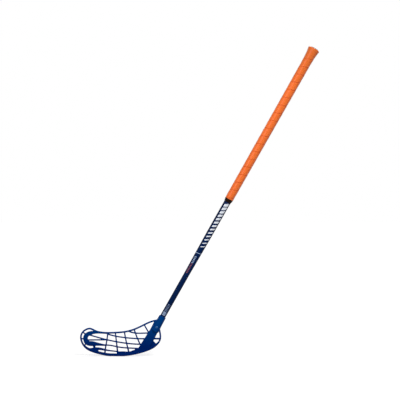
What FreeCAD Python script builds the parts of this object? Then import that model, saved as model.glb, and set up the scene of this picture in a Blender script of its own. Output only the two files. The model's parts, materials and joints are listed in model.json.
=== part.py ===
import FreeCAD
import Part
import math
import os

# A floorball stick: a moulded lattice blade, glued and screwed on a tapered tube with a wound grip.
# Sizes are in millimetres and angles in degrees.
# The stick stands on its sole as in play: X runs from the toe to the heel, Z is up, and the toe
# hooks towards +Y. The origin is the middle of the flat on the sole.

# Lie of the shaft
shaft_lean = 29.5
axis_foot_x = 73.0          # where the shaft axis meets the floor
shaft_foot_gap = 91.5       # along the axis, from the floor to the lower end of the tube

# Shaft tube
shaft_length = 994.0
shaft_wall = 1.5
lower_diameter = 17.5
middle_diameter = 20.8
butt_diameter = 24.0
lower_run = 199.0           # straight run at the blade end
first_taper = 140.0
middle_run = 105.0
butt_run = 60.0             # straight run at the butt end

# Blade outline, seen from the front
toe_reach = 113.6
heel_reach = 137.2
waist_height = 74.5         # lowest place of the top rim
sole_flat = 36.0            # length of the flat that the stick rests on
hook_start = 22.0           # the blade is straight from here to the heel
hook_depth = 22.0           # how far the toe hooks to the forehand side
cup_depth = 3.0             # how far the rims stand forward of the middle at the toe

# Blade sections
rim_width = 4.5
rim_thickness = 8.0
sole_height = 8.0
sole_thickness = 9.5
rib_width = 3.5
heavy_rib_width = 4.6
rib_thickness = 5.0
toe_link_width = 7.0        # short link below the toe band
toe_band_width = 13.4       # at the bend
toe_band_thickness = 6.6
web_thickness = 3.6
blade_room = 60.0           # half depth of the space that the curved blade is cut from
blade_margin = 12.0         # how far that space reaches past the blade
bend_columns = 14           # places along the blade and up it at which its curve is set
bend_rows = 5

# Socket and arm
socket_depth = 49.0
glue_thickness = 0.25
mouth_diameter = 21.0
root_diameter = 24.2
socket_round = 0.8          # edges of the mouth and of the shoulder
socket_floor = 2.4          # closed end below the tube, which stands out over the flat arm
arm_top_front = 13.9        # arm edges from the shaft axis, towards the toe and the heel
arm_top_heel = 10.4
arm_foot_front = 19.5
arm_foot_heel = 16.0
arm_top_thickness = 12.0
arm_foot_thickness = 8.6
arm_round_share = 0.35      # corner radius of the arm, as a share of its thickness
arm_top_along = -4.0        # top of the full arm, along the axis from the end of the tube
fin_front = 15.4            # edge of the fin that goes on from the arm to the top rim
fin_heel = 8.0
fin_thickness = 6.6
fin_height = 34.0           # along the axis from the lower end of the tube
rim_join_along = 34.2       # where the lines of the top rim and the heel end inside the socket
heel_join_along = 17.1
join_across = 7.3

# Screws in the socket
front_screw_along = 11.5    # along the axis from the lower end of the tube
back_screw_along = 30.0
screw_diameter = 3.5
screw_length = 11.0
screw_point = 3.5
screw_head_diameter = 7.0
screw_head_height = 2.3
screw_recess_depth = 1.2
screw_recess_width = 1.0
screw_recess_length = 4.2
screw_edge_share = 0.55     # height of the head's straight edge, as a share of the head
screw_crown_share = 0.6     # radius of the flat on the head, as a share of the head
screw_clearance = 0.1
seat_clearance = 0.3
seat_wall = 1.2             # socket wall left under a screw head

# Butt end
collar_length = 40.0
collar_lip = 0.4
collar_flare = 4.1
collar_round = 1.4
plug_clearance = 0.05
plug_depth = 35.0
plug_wall = 1.6
plug_flange_overlap = 2.4
plug_flange_height = 1.4
plug_flange_round = 0.7

# Grip
grip_length = 530.0         # measured down from the end of the tube
tape_thickness = 2.6
tape_pitch = 28.0
tape_gap = 0.5
tape_tip = 1.5              # width of the tape's cut ends
tape_bite = 1.0             # how far the cut end runs into the square first turn
tape_inset = 0.5            # how much thinner the cut end is there
bridge_length = 8.0         # the tape leaves the tube this far before the collar
first_turn_width = 22.0     # square turn at the butt end
tape_end_turn = 0.1         # part of a turn in which the cut end runs into the first turn
steps_per_turn = 12
gap_steps_per_turn = 48
finish_width = 11.0
finish_film = 0.45

skin_tolerance = 0.001
inset_steps = 3             # places between two points of a line that is set in

lean = math.radians(shaft_lean)
across_y = FreeCAD.Vector(0, 1, 0)
socket_radius = lower_diameter / 2 + glue_thickness
seat_depth = socket_radius + seat_wall
grip_start = shaft_length - grip_length
collar_start = shaft_length - collar_length
first_turn_start = shaft_length - first_turn_width


def spot(length_share, height_share):
    """A point of the blade, as shares of its reach to the toe or heel and of its waist height."""
    reach = toe_reach if length_share < 0 else heel_reach
    return FreeCAD.Vector(length_share * reach, 0, height_share * waist_height)


def on_axis(along, across=0.0):
    """A point beside the shaft axis, along it from the tube's lower end and across to the heel."""
    height = along + shaft_foot_gap
    x = axis_foot_x + height * math.sin(lean) + across * math.cos(lean)
    z = height * math.cos(lean) - across * math.sin(lean)
    return FreeCAD.Vector(x, 0, z)


def arm_spot(height_share):
    """The point of the shaft axis at a height on the blade."""
    z = height_share * waist_height
    return FreeCAD.Vector(axis_foot_x + z * math.tan(lean), 0, z)


def lean_over(shape):
    """Moves a shape modelled along Z, from the tube's lower end, on to the shaft axis."""
    shape.Placement = FreeCAD.Placement(on_axis(0), FreeCAD.Rotation(across_y, shaft_lean))
    return shape


def spline(points):
    curve = Part.BSplineCurve()
    curve.interpolate(points)
    return curve


def face_within(edges):
    return Part.Face(Part.Wire(Part.__sortEdges__(edges)))


def patch(points):
    return Part.Face(Part.makePolygon(points + points[:1]))


def turned(points):
    """The solid that an outline of (radius, along) points makes about the Z axis."""
    corners = [FreeCAD.Vector(radius, 0, along) for radius, along in points]
    return patch(corners).revolve(FreeCAD.Vector(0, 0, 0), FreeCAD.Vector(0, 0, 1), 360)


def ribbon(points, widths):
    """A flat strip that follows a smooth line through the points, with its own width at each."""
    line = spline(points)
    left = []
    right = []
    for point, width in zip(points, widths):
        tangent = line.tangent(line.parameter(point))[0]
        aside = tangent.cross(across_y) * (width / 2)
        left.append(point + aside)
        right.append(point - aside)
    return face_within([
        spline(left).toShape(),
        spline(right).toShape(),
        Part.makeLine(left[0], right[0]),
        Part.makeLine(left[-1], right[-1]),
    ])


def bar(points, width=rib_width):
    return ribbon(points, [width] * len(points))


def set_in(points, width):
    """A smooth line that keeps a width to the left of the line through the points."""
    line = spline(points)
    first = line.FirstParameter
    step = (line.LastParameter - first) / (inset_steps * len(points))
    inner = []
    for index in range(inset_steps * len(points) + 1):
        place = first + index * step
        inner.append(line.value(place) + line.tangent(place)[0].cross(across_y) * width)
    return spline(inner)


def blade_outline(width=0.0):
    """The blade from the front, closed inside the socket, or its outline set in by a width."""
    rim_end = on_axis(rim_join_along, -join_across)
    heel_end = on_axis(heel_join_along, join_across)
    flat_toe = FreeCAD.Vector(-sole_flat / 2, 0, 0)
    flat_heel = FreeCAD.Vector(sole_flat / 2, 0, 0)
    top_and_toe = [
        rim_end, spot(0.764, 1.452), spot(0.535, 1.256), spot(0.277, 1.072), spot(-0.046, 1.002),
        spot(-0.43, 1.008), spot(-0.585, 1.07), spot(-0.711, 1.15), spot(-0.87, 1.09),
        spot(-0.975, 0.925), spot(-1.0, 0.768), spot(-0.972, 0.56), spot(-0.862, 0.315),
        spot(-0.651, 0.148), spot(-0.434, 0.062), spot(-0.28, 0.018), flat_toe,
    ]
    sole_and_heel = [
        flat_heel, spot(0.27, 0.028), spot(0.45, 0.086), spot(0.64, 0.185), spot(0.81, 0.315),
        spot(0.93, 0.49), spot(0.99, 0.67), spot(1.0, 0.83), spot(0.987, 1.02), heel_end,
    ]
    upper = set_in(top_and_toe, width) if width else spline(top_and_toe)
    lower = set_in(sole_and_heel, width) if width else spline(sole_and_heel)
    return face_within([
        upper.toShape(), Part.makeLine(upper.EndPoint, lower.StartPoint),
        lower.toShape(), Part.makeLine(lower.EndPoint, upper.StartPoint),
    ])


def blade_middle():
    """The curved middle face of the blade, straight at the heel, hooked and cupped at the toe."""
    half_height = waist_height / 2
    first_x = -toe_reach - blade_margin
    last_x = heel_reach + blade_margin
    first_z = -blade_margin
    last_z = 2 * waist_height
    grid = []
    for column in range(bend_columns + 1):
        x = first_x + (last_x - first_x) * column / bend_columns
        bend = max(0.0, hook_start - x) / (hook_start + toe_reach)
        line = []
        for row in range(bend_rows + 1):
            z = first_z + (last_z - first_z) * row / bend_rows
            cup = cup_depth * bend * ((z - half_height) / half_height) ** 2
            line.append(FreeCAD.Vector(x, hook_depth * bend ** 2 + cup, z))
        grid.append(line)
    surface = Part.BSplineSurface()
    surface.interpolate(grid)
    return surface.toShape()


def through_blade(face):
    """The flat shape, carried straight through the whole depth of the blade."""
    face = face.translated(FreeCAD.Vector(0, -blade_room, 0))
    return face.extrude(FreeCAD.Vector(0, 2 * blade_room, 0))


def layer(body, middle, thickness):
    """The part of a body that lies in an even thickness along the curved middle of the blade."""
    slab = middle.translated(FreeCAD.Vector(0, -thickness / 2, 0))
    return body.common(slab.extrude(FreeCAD.Vector(0, thickness, 0)))


def cross_ribs():
    """The five ribs that run from the top rim towards the sole, fanned out to the heel."""
    return [
        ribbon([spot(-0.244, 0.95), spot(-0.262, 0.675), spot(-0.288, 0.45), spot(-0.322, 0.05)],
               [rib_width, rib_width, rib_width, heavy_rib_width]),
        ribbon([spot(-0.034, 0.99), spot(-0.004, 0.6), spot(0.028, 0.1)],
               [rib_width, rib_width, heavy_rib_width]),
        ribbon([spot(0.174, 1.03), spot(0.226, 0.53), spot(0.286, 0.1)],
               [rib_width, rib_width, heavy_rib_width]),
        bar([spot(0.392, 1.13), spot(0.47, 0.73), spot(0.57, 0.35)]),
        bar([spot(0.615, 1.315), arm_spot(0.798)]),
    ]


def lowest_rib():
    """The lowest long rib, which grows out of the thick corner of the toe."""
    centre = [
        spot(-0.76, 0.255), spot(-0.66, 0.275), spot(-0.563, 0.299), spot(-0.475, 0.298),
        spot(-0.384, 0.279), spot(-0.3, 0.253), spot(-0.11, 0.214), spot(0.034, 0.19),
    ]
    shares = [2.3, 2.3, 2.3, 2.1, 1.8, 1.4, 1.0, 1.0]
    return ribbon(centre, [share * rib_width for share in shares])


def long_ribs():
    """The ribs that run from the toe band or a cross rib to the arm."""
    return [
        bar([spot(0.25, 1.05), spot(0.42, 0.957), spot(0.535, 0.948), arm_spot(0.945)]),
        bar([spot(-0.25, 0.915), spot(-0.028, 0.826), spot(0.191, 0.768), spot(0.464, 0.726),
             arm_spot(0.729)]),
        bar([spot(-0.3, 0.685), spot(-0.003, 0.597), spot(0.263, 0.525), arm_spot(0.5)]),
        bar([spot(-0.3, 0.452), spot(-0.132, 0.437), spot(0.02, 0.387), spot(0.335, 0.333),
             arm_spot(0.3)]),
        lowest_rib(),
        bar([spot(-0.74, 0.86), spot(-0.26, 0.67)]),
        bar([spot(-0.78, 0.655), spot(-0.262, 0.675)]),
    ]


def short_ribs():
    """The three links between the toe rim and the toe band, one below it, and the heel's bar."""
    return [
        bar([spot(-0.95, 0.99), spot(-0.86, 0.9)]),
        bar([spot(-0.99, 0.7), spot(-0.88, 0.7)]),
        bar([spot(-0.91, 0.38), spot(-0.82, 0.52)]),
        bar([spot(-0.62, 0.47), spot(-0.6, 0.28)], toe_link_width),
        bar([arm_spot(0.725), spot(0.985, 0.725)], heavy_rib_width),
    ]


def toe_band():
    """The broad horseshoe inside the toe rim: upper leg, bend and tapered lower leg."""
    centre = [
        spot(-0.27, 0.955), spot(-0.46, 0.966), spot(-0.55, 0.974), spot(-0.64, 0.965),
        spot(-0.754, 0.916), spot(-0.84, 0.81), spot(-0.852, 0.69), spot(-0.81, 0.55),
        spot(-0.69, 0.505), spot(-0.54, 0.49), spot(-0.4, 0.465), spot(-0.27, 0.452),
    ]
    shares = [0.4, 0.4, 0.54, 0.68, 0.92, 1.01, 1.06, 1.07, 1.09, 0.75, 0.46, 0.27]
    return ribbon(centre, [share * toe_band_width for share in shares])


def toe_keel():
    """The thick lower corner of the toe, where the sole and the lowest long rib run together."""
    centre = [spot(-0.88, 0.33), spot(-0.78, 0.26), spot(-0.66, 0.22), spot(-0.5, 0.195)]
    shares = [1.75, 2.15, 2.6, 2.75]
    return ribbon(centre, [share * rim_width for share in shares])


def sole_web():
    """The thin wall that closes the lattice above the middle of the sole."""
    return patch([spot(0.028, 0.195), spot(0.16, 0.198), spot(0.286, 0.18), spot(0.36, 0.235),
                  spot(0.45, 0.29), arm_spot(0.25), arm_spot(0.0), spot(0.028, 0.0)])


def arm_gusset():
    """The hollow curve between the foot of the arm and the sole."""
    hollow = [spot(0.42, 0.31), spot(0.5, 0.345), spot(0.535, 0.434), spot(0.56, 0.51)]
    corners = [hollow[-1], arm_spot(0.51), arm_spot(0.0), spot(0.36, 0.1), hollow[0]]
    edges = [Part.makeLine(first, last) for first, last in zip(corners, corners[1:])]
    return face_within([spline(hollow).toShape()] + edges)


def heel_gusset():
    """The wall that fills the corner between the arm and the heel's rim."""
    return patch([arm_spot(0.62), spot(0.833, 0.617), spot(0.884, 0.521), spot(0.93, 0.49),
                  spot(0.81, 0.315), arm_spot(0.2)])


def joined(shapes):
    """One body of all the shapes, without seams in its flat faces."""
    return shapes[0].multiFuse(shapes[1:]).removeSplitter()


def blade_lattice(outline):
    """Rim, sole, ribs, toe band and web, each at its own thickness."""
    middle = blade_middle()
    whole = through_blade(outline)
    rim = whole.cut(through_blade(blade_outline(rim_width)))
    rim = joined([rim, through_blade(toe_keel())]).common(whole)
    sole = whole.cut(whole.translated(FreeCAD.Vector(0, 0, sole_height)))
    ribs = joined([through_blade(rib) for rib in cross_ribs() + long_ribs() + short_ribs()])
    webs = joined([through_blade(web) for web in (sole_web(), arm_gusset(), heel_gusset())])
    layers = [
        layer(rim, middle, rim_thickness),
        layer(sole, middle, sole_thickness),
        layer(ribs.common(whole), middle, rib_thickness),
        layer(through_blade(toe_band()), middle, toe_band_thickness),
        layer(webs.common(whole), middle, web_thickness),
    ]
    return [solid for piece in layers for solid in piece.Solids]


def rounded_section(front, heel, thickness, along):
    """A rounded rectangle across the shaft axis, as a wire."""
    half = thickness / 2
    section = Part.makePolygon([
        FreeCAD.Vector(-front, -half, along), FreeCAD.Vector(heel, -half, along),
        FreeCAD.Vector(heel, half, along), FreeCAD.Vector(-front, half, along),
        FreeCAD.Vector(-front, -half, along),
    ])
    corner = arm_round_share * thickness
    return Part.Face(section).makeOffset2D(-corner).makeOffset2D(corner).OuterWire


def arm():
    """The flat arm that carries the socket's load down to the sole, and its fin beside the socket."""
    below = -shaft_foot_gap - arm_foot_front
    foot = rounded_section(arm_foot_front, arm_foot_heel, arm_foot_thickness, below)
    top = rounded_section(arm_top_front, arm_top_heel, arm_top_thickness, arm_top_along)
    fin = rounded_section(fin_front, fin_heel, fin_thickness, fin_height)
    return lean_over(Part.makeLoft([foot, top, fin], True, True))


def socket():
    """The round socket from its shoulder over the arm up to its mouth, still without its bore."""
    mouth = mouth_diameter / 2
    root = root_diameter / 2
    corner = socket_round * (1 - math.sqrt(0.5))
    corners = [FreeCAD.Vector(radius, 0, along) for radius, along in [
        (0, -socket_floor), (root - socket_round, -socket_floor),
        (root - corner, corner - socket_floor), (root, socket_round - socket_floor),
        (mouth, socket_depth - socket_round), (mouth - corner, socket_depth - corner),
        (mouth - socket_round, socket_depth), (0, socket_depth),
    ]]
    profile = face_within([
        Part.makeLine(corners[0], corners[1]),
        Part.Arc(corners[1], corners[2], corners[3]).toShape(),
        Part.makeLine(corners[3], corners[4]),
        Part.Arc(corners[4], corners[5], corners[6]).toShape(),
        Part.makeLine(corners[6], corners[7]), Part.makeLine(corners[7], corners[0]),
    ])
    return lean_over(profile.revolve(FreeCAD.Vector(0, 0, 0), FreeCAD.Vector(0, 0, 1), 360))


def screw_axis(along, side, length, radius, start):
    """A round bar square to the shaft axis, from a depth on the front (-1) or back (1) side."""
    direction = FreeCAD.Vector(0, -side, 0)
    return Part.makeCylinder(radius, length, FreeCAD.Vector(0, side * start, along), direction)


screw_places = [(front_screw_along, -1), (back_screw_along, 1)]


def screw_holes():
    """The clearance holes of both screws, through one wall each."""
    radius = screw_diameter / 2 + screw_clearance
    return [screw_axis(along, side, seat_depth, radius, seat_depth) for along, side in screw_places]


def blade():
    outline = blade_outline()
    trimmed_arm = arm().common(through_blade(outline))
    body = joined(blade_lattice(outline) + [trimmed_arm, socket()])
    cuts = [Part.makeCylinder(socket_radius, 2 * socket_depth)] + screw_holes()
    head_radius = screw_head_diameter / 2 + seat_clearance
    for along, side in screw_places:
        cuts.append(screw_axis(along, side, root_diameter - seat_depth, head_radius, root_diameter))
    for cut in cuts:
        body = body.cut(lean_over(cut))
    return body.removeSplitter().Solids[0]


def shaft_radius(along):
    """Outer radius of the tube."""
    stations = [
        (0, lower_diameter), (lower_run, lower_diameter), (lower_run + first_taper, middle_diameter),
        (lower_run + first_taper + middle_run, middle_diameter),
        (shaft_length - butt_run, butt_diameter), (shaft_length, butt_diameter),
    ]
    for (start, first), (end, last) in zip(stations, stations[1:]):
        if along <= end:
            return (first + (last - first) * (along - start) / (end - start)) / 2
    return butt_diameter / 2


def shaft():
    places = [0, lower_run, lower_run + first_taper, lower_run + first_taper + middle_run,
              shaft_length - butt_run, shaft_length]
    outside = [(shaft_radius(along), along) for along in places]
    inside = [(radius - shaft_wall, along) for radius, along in reversed(outside)]
    tube = turned(outside + inside)
    for hole in screw_holes():
        tube = tube.cut(hole)
    return lean_over(tube)


def hosel_glue():
    film = turned([(lower_diameter / 2, 0), (socket_radius, 0),
                   (socket_radius, socket_depth), (lower_diameter / 2, socket_depth)])
    for hole in screw_holes():
        film = film.cut(hole)
    return lean_over(film)


def blade_screw(along, side):
    """A pan-head self-tapping screw with a cross recess, seated in the socket wall."""
    head = screw_head_diameter / 2
    shank = screw_diameter / 2
    body = turned([
        (0, -screw_length), (shank, screw_point - screw_length), (shank, 0), (head, 0),
        (head, screw_edge_share * screw_head_height), (screw_crown_share * head, screw_head_height),
        (0, screw_head_height),
    ])
    for turn in (0, 90):
        slot = Part.makeBox(screw_recess_length, screw_recess_width, screw_recess_depth)
        slot.translate(FreeCAD.Vector(-screw_recess_length / 2, -screw_recess_width / 2,
                                      screw_head_height - screw_recess_depth))
        slot.rotate(FreeCAD.Vector(0, 0, 0), FreeCAD.Vector(0, 0, 1), turn)
        body = body.cut(slot)
    body.rotate(FreeCAD.Vector(0, 0, 0), FreeCAD.Vector(1, 0, 0), -side * 90)
    body.translate(FreeCAD.Vector(0, side * seat_depth, along))
    holder = Part.makeCompound([body])
    return lean_over(holder).Solids[0]


def collar_radius(along):
    """Outer radius of the flared collar."""
    share = (along - collar_start) / collar_length
    return butt_diameter / 2 + collar_lip + (collar_flare - collar_lip) * share ** 2


def flared(start, skin):
    """A filled flared end with a rounded rim, from a place on the collar to the end of the tube."""
    top = shaft_length + skin
    middle = (start + shaft_length) / 2
    corner = FreeCAD.Vector(collar_radius(shaft_length) + skin, 0, top)
    foot = FreeCAD.Vector(collar_radius(start) + skin, 0, start)
    waist = FreeCAD.Vector(collar_radius(middle) + skin, 0, middle)
    base = FreeCAD.Vector(0, 0, start)
    tip = FreeCAD.Vector(0, 0, top)
    profile = face_within([
        Part.Arc(foot, waist, corner).toShape(), Part.makeLine(corner, tip),
        Part.makeLine(tip, base), Part.makeLine(base, foot),
    ])
    body = profile.revolve(FreeCAD.Vector(0, 0, 0), FreeCAD.Vector(0, 0, 1), 360)
    rim = [edge for edge in body.Edges if edge.BoundBox.ZMin > top - skin_tolerance and edge.Closed]
    return body.makeFillet(collar_round + skin, rim)


def knob_collar():
    tube = Part.makeCylinder(butt_diameter / 2, shaft_length)
    return lean_over(flared(collar_start, 0.0).cut(tube))


def bore_radius():
    return butt_diameter / 2 - shaft_wall


def butt_plug():
    """A hollow plug in the tube, whose flange holds down the folded edge of the tape."""
    seat = shaft_length + tape_thickness
    top = seat + plug_flange_height
    flange = bore_radius() + plug_flange_overlap
    stem = bore_radius() - plug_clearance
    hollow = stem - plug_wall
    floor = seat - plug_wall
    return lean_over(turned([
        (0, floor), (hollow, floor), (hollow, shaft_length - plug_depth),
        (stem - plug_wall / 2, shaft_length - plug_depth), (stem, shaft_length - plug_depth + plug_wall),
        (stem, seat), (flange, seat), (flange, top - plug_flange_round),
        (flange - plug_flange_round, top), (0, top),
    ]))


def under_tape(along):
    """Radius of what the tape lies on: the tube, a short bridge, then the flared collar."""
    if along >= collar_start:
        return collar_radius(along)
    lift = max(0.0, along - collar_start + bridge_length) / bridge_length
    return shaft_radius(along) + collar_lip * lift


class TapeEdge:
    """One edge of a stretch of tape, which climbs evenly between two angles counted in turns."""

    def __init__(self, first_turn, last_turn, first_along, last_along):
        self.turns = (first_turn, last_turn)
        self.climb = (first_along, last_along)

    def point(self, share, lift):
        """A point of the edge at a lift above what the tape lies on."""
        along = self.climb[0] + (self.climb[1] - self.climb[0]) * share
        angle = 2 * math.pi * (self.turns[0] + (self.turns[1] - self.turns[0]) * share)
        radius = under_tape(along) + lift
        return FreeCAD.Vector(radius * math.cos(angle), radius * math.sin(angle), along)

    def curve(self, first_lift, last_lift):
        steps = max(4, math.ceil((self.turns[1] - self.turns[0]) * steps_per_turn))
        shares = [step / steps for step in range(steps + 1)]
        points = [self.point(share, first_lift + (last_lift - first_lift) * share) for share in shares]
        return spline(points).toShape()


def tape_faces(lower, upper, inset):
    """The four faces of a stretch of tape between its edges, thinned by the inset at its end."""
    corners = [
        lower.curve(0, inset), upper.curve(0, inset),
        upper.curve(tape_thickness, tape_thickness - inset),
        lower.curve(tape_thickness, tape_thickness - inset),
    ]
    follow = 1
    return [Part.makeRuledSurface(first, last, follow)
            for first, last in zip(corners, corners[1:] + corners[:1])]


def tape_cut(lower, upper, share, inset):
    """The cut end of the tape."""
    return patch([lower.point(share, inset), upper.point(share, inset),
                  upper.point(share, tape_thickness - inset), lower.point(share, tape_thickness - inset)])


def tape_stretches():
    """Lower edge, upper edge and inset of each stretch, from the finish up to the square first turn."""
    width = tape_pitch - tape_gap
    top = first_turn_start - tape_gap
    widen = (width - tape_tip) / tape_pitch
    full_turns = (top - width - grip_start) / tape_pitch
    count = math.ceil(full_turns)
    stretches = [(TapeEdge(0, widen, grip_start, grip_start),
                  TapeEdge(0, widen, grip_start + tape_tip, grip_start + width), 0)]
    for index in range(count):
        first = full_turns * index / count
        last = full_turns * (index + 1) / count
        low = grip_start + first * tape_pitch
        high = grip_start + last * tape_pitch
        stretches.append((TapeEdge(widen + first, widen + last, low, high),
                          TapeEdge(widen + first, widen + last, low + width, high + width), 0))
    full = widen + full_turns
    end = full + widen
    rise = tape_gap + tape_bite
    stretches.append((TapeEdge(full, end, top - width, top - tape_tip), TapeEdge(full, end, top, top), 0))
    stretches.append((TapeEdge(end, end + tape_end_turn, top - tape_tip, top - tape_tip + rise),
                      TapeEdge(end, end + tape_end_turn, top, top + rise), tape_inset))
    return stretches


def least_tape_gap(stretches):
    """Least distance between neighbouring turns, measured on points of their facing edges."""
    tops = []
    feet = []
    for lower, upper, inset in stretches[:-1]:
        steps = math.ceil((upper.turns[1] - upper.turns[0]) * gap_steps_per_turn)
        for step in range(steps + 1):
            share = step / steps
            turn = upper.turns[0] + (upper.turns[1] - upper.turns[0]) * share
            for lift in (0, tape_thickness):
                tops.append((turn, upper.point(share, lift)))
                feet.append((turn, lower.point(share, lift)))
    gaps = [top.distanceToPoint(foot) for turn, top in tops for later, foot in feet
            if abs(later - turn - 1) < 2 / gap_steps_per_turn]
    return min(gaps)


def grip_tape():
    """One run of tape: a square first turn folded over the butt, then turns down to the finish."""
    stretches = tape_stretches()
    lowest = stretches[0]
    highest = stretches[-1]
    faces = [tape_cut(lowest[0], lowest[1], 0, 0), tape_cut(highest[0], highest[1], 1, tape_inset)]
    for lower, upper, inset in stretches:
        faces += tape_faces(lower, upper, inset)
    shell = Part.makeShell(faces)
    shell.sewShape()
    band = Part.makeSolid(shell)
    first_turn = flared(first_turn_start, tape_thickness).cut(flared(collar_start, 0.0))
    first_turn = first_turn.cut(Part.makeCylinder(bore_radius(), 2 * shaft_length))
    print("tape turns", round(highest[0].turns[1], 2), "least gap", round(least_tape_gap(stretches), 3))
    return lean_over(band.fuse(first_turn))


def finishing_tape():
    start = grip_start - finish_width
    return lean_over(turned([
        (shaft_radius(start), start), (shaft_radius(start) + finish_film, start),
        (shaft_radius(grip_start) + tape_thickness, grip_start - finish_film),
        (shaft_radius(grip_start) + tape_thickness, grip_start), (shaft_radius(grip_start), grip_start),
    ]))


os.makedirs("parts", exist_ok=True)
pieces = {
    "blade": blade(),
    "shaft": shaft(),
    "hosel_glue": hosel_glue(),
    "front_blade_screw": blade_screw(*screw_places[0]),
    "back_blade_screw": blade_screw(*screw_places[1]),
    "knob_collar": knob_collar(),
    "butt_plug": butt_plug(),
    "grip_tape": grip_tape(),
    "finishing_tape": finishing_tape(),
}
for name, shape in pieces.items():
    print(name, shape.ShapeType, len(shape.Solids), shape.isValid(), round(shape.Volume / 1000, 2))
    shape.exportStep("parts/" + name + ".step")
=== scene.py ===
import json
import math

import bmesh
import bpy
from mathutils import Matrix, Vector


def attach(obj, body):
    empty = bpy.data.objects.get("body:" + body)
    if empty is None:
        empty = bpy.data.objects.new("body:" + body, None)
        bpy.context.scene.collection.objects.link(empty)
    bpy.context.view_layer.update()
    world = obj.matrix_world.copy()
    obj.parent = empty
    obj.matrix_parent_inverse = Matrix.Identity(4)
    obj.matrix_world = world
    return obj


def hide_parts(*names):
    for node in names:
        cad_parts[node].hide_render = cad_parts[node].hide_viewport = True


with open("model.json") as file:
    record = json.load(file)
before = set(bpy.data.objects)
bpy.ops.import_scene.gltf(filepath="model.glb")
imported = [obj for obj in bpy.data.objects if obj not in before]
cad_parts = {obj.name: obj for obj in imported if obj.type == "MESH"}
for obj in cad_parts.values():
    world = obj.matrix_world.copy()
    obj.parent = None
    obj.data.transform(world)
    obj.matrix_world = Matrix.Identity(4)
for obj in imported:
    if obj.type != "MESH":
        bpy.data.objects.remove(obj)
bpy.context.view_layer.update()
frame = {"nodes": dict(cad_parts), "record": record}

scene = bpy.context.scene
scene.view_settings.view_transform = "Standard"

# Every piece above the blade is made upright on Z, from the tube's lower end, then leaned over
mounts = {mount["name"]: mount for mount in frame["record"]["mounts"]}
tube = {
    "length": 0.994,
    "buttRise": 0.004,       # plug and folded tape above the end of the tube
    "wall": 0.0015,
    "endRound": 0.0003,
    "stations": [            # along the tube, radius
        (0.0, 0.00875), (0.199, 0.00875), (0.339, 0.0104),
        (0.444, 0.0104), (0.934, 0.012), (0.994, 0.012),
    ],
    "segments": 96,
}
printStretch = tube["stations"][1:3]    # taper under the printed marks
gripStretch = tube["stations"][3:5]     # taper under the grip
shaftDirection = Vector(mounts["butt_end"]["axis"]).normalized()
tubeFoot = Vector(mounts["butt_end"]["pos_m"]) - shaftDirection * (tube["length"] + tube["buttRise"])
lean = math.atan2(shaftDirection.x, shaftDirection.z)
leanOver = Matrix.Translation(tubeFoot) @ Matrix.Rotation(lean, 4, "Y")
frontAngle = -math.pi / 2    # the camera's side of the tube
sharpAngle = math.radians(48)    # edges that bend more than this shade as edges
mergeDistance = 1e-6    # points this close become one, which closes seams and poles


def tubeRadius(along):
    for (start, first), (end, last) in zip(tube["stations"], tube["stations"][1:]):
        if along <= end:
            return first + (last - first) * (along - start) / (end - start)
    return tube["stations"][-1][1]


def taperSizes(stretch):
    (start, footRadius), (end, topRadius) = stretch
    return {"Taper Start": start, "Taper End": end, "Foot Radius": footRadius, "Top Radius": topRadius}


def linear(hexText):    # sRGB hex to linear colour
    channels = [int(hexText[place:place + 2], 16) / 255 for place in (0, 2, 4)]
    return [c / 12.92 if c <= 0.04045 else ((c + 0.055) / 1.055) ** 2.4 for c in channels] + [1.0]


# Sockets by number: Map Range goes from 1 and 2 to 3 and 4. A colour Mix has its share at 0,
# its colours at 6 and 7, and its result at output 2
def addNode(tree, kind, inputs=None, **settings):
    node = tree.nodes.new(kind)
    for name, value in settings.items():
        setattr(node, name, value)
    for place, value in (inputs or {}).items():
        if isinstance(value, bpy.types.Node):
            value = value.outputs[0]
        if isinstance(value, bpy.types.NodeSocket):
            tree.links.new(value, node.inputs[place])
        else:
            node.inputs[place].default_value = value
    return node


def startMaterial(name, finish):
    material = bpy.data.materials.new(name)
    material.use_nodes = True
    shader = material.node_tree.nodes["Principled BSDF"]
    for socket, value in finish["shader"].items():
        shader.inputs[socket].default_value = value
    return material, material.node_tree


def endMaterial(material, finish, colour, wear, relief=None):    # wear sets the roughness, relief the bump
    tree = material.node_tree
    shader = tree.nodes["Principled BSDF"]
    smoothest, roughest = finish["roughness"]
    dull = addNode(tree, "ShaderNodeMapRange", {0: wear, 3: smoothest, 4: roughest})
    tree.links.new(colour, shader.inputs["Base Color"])
    tree.links.new(dull.outputs[0], shader.inputs["Roughness"])
    if relief:
        bump = addNode(tree, "ShaderNodeBump", {
            "Height": relief, "Strength": finish["bump"], "Distance": finish["bumpMm"] / 1000})
        tree.links.new(bump.outputs[0], shader.inputs["Normal"])
    return material


def addPiece(name, mesh, material, nodes=()):
    piece = bpy.data.objects.new(name, mesh)
    scene.collection.objects.link(piece)
    mesh.materials.clear()
    mesh.materials.append(material)
    mesh.shade_smooth()
    mesh.set_sharp_from_angle(angle=sharpAngle)
    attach(piece, "root")
    if nodes:
        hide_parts(*nodes)
    print("piece", name, len(mesh.polygons), "faces")


def startTree(name, floats=(), counts=()):
    tree = bpy.data.node_groups.new(name, "GeometryNodeTree")
    tree.interface.new_socket("Shape", in_out="INPUT", socket_type="NodeSocketGeometry")
    for label in floats:
        tree.interface.new_socket(label, in_out="INPUT", socket_type="NodeSocketFloat")
    for label in counts:
        tree.interface.new_socket(label, in_out="INPUT", socket_type="NodeSocketInt")
    tree.interface.new_socket("Finish", in_out="INPUT", socket_type="NodeSocketMaterial")
    tree.interface.new_socket("Geometry", in_out="OUTPUT", socket_type="NodeSocketGeometry")
    return tree, addNode(tree, "NodeGroupInput").outputs


def endTree(tree, geometry, size):
    realized = addNode(tree, "GeometryNodeRealizeInstances", {0: geometry})
    finished = addNode(tree, "GeometryNodeSetMaterial", {0: realized, "Material": size["Finish"]})
    addNode(tree, "NodeGroupOutput", {0: finished})


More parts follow.
